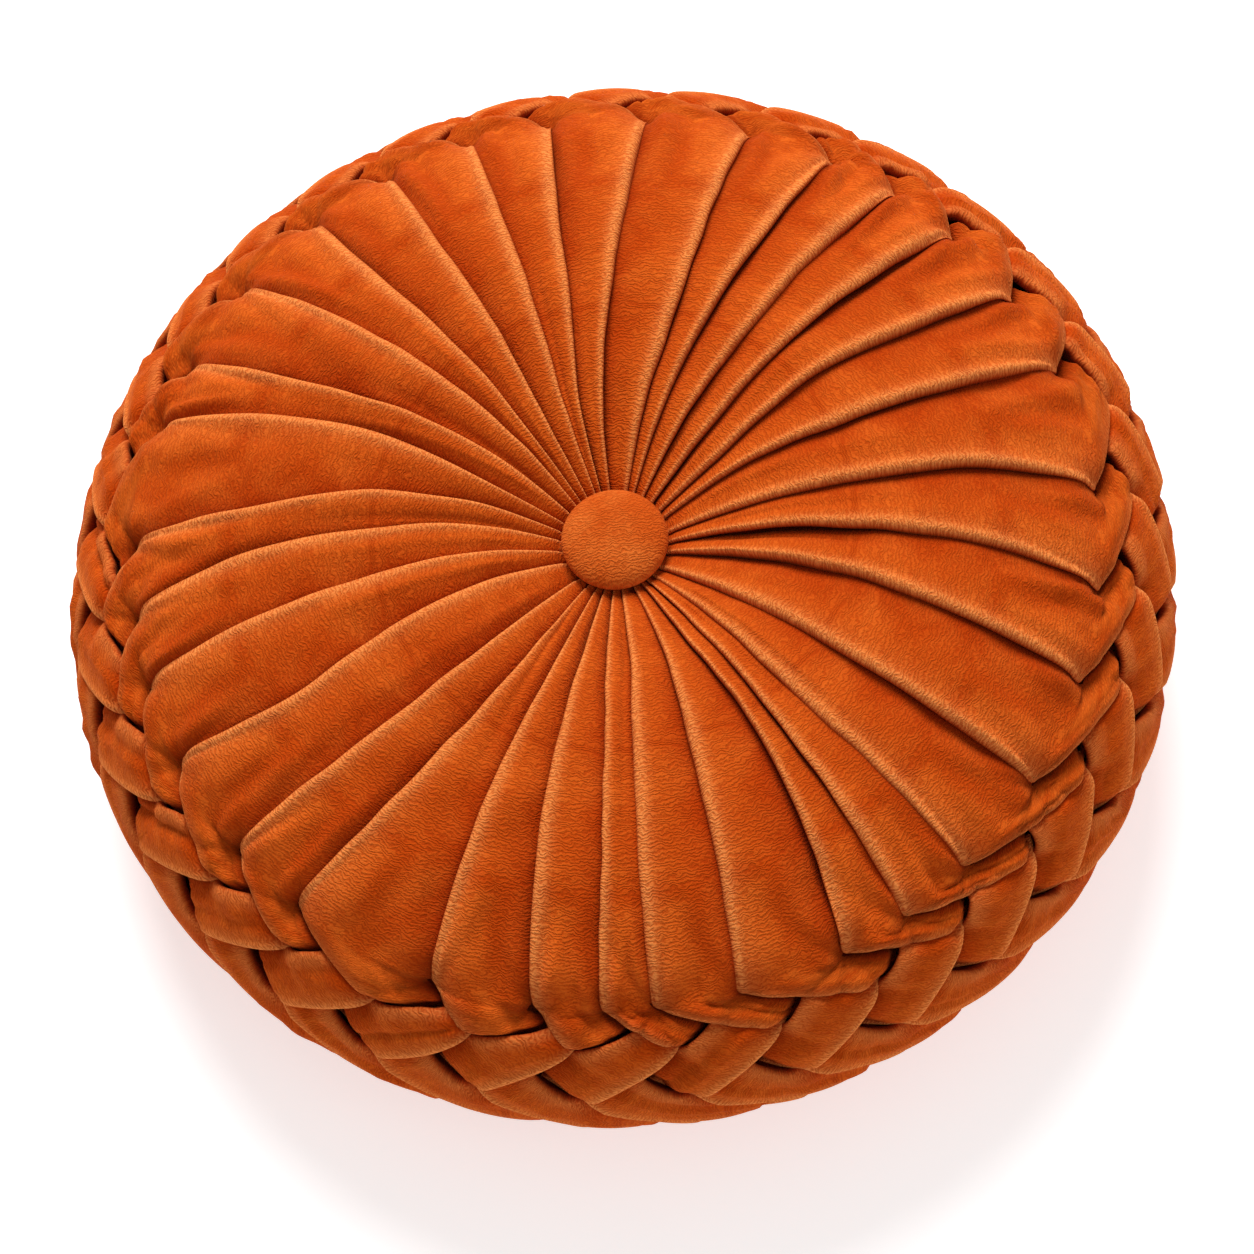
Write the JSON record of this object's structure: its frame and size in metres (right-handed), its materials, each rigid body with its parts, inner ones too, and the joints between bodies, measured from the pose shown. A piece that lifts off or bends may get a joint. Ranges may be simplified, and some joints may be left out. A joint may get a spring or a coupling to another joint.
{
  "type": "round cushion",
  "caption": "Round filled velvet cushion with gathered radial pleats, a smocked basket-weave side band and a covered button at the centre of each face.",
  "frame": {"origin": "centre of the resting face at the underside of the cushion", "axes": "+Z out of the front face, away from the surface that the cushion lies on; X and Y lie in its middle plane, and +Y is the side that is farthest in the picture"},
  "size_m": [0.3796, 0.3796, 0.11],
  "materials": {
    "velvet": "rust-orange short-pile velvet",
    "button_velvet": "rust-orange short-pile velvet stretched over a button"
  },
  "bodies": {
    "root": {"cushion": "velvet", "button_front": "button_velvet", "button_back": "button_velvet"}
  },
  "joints": []
}
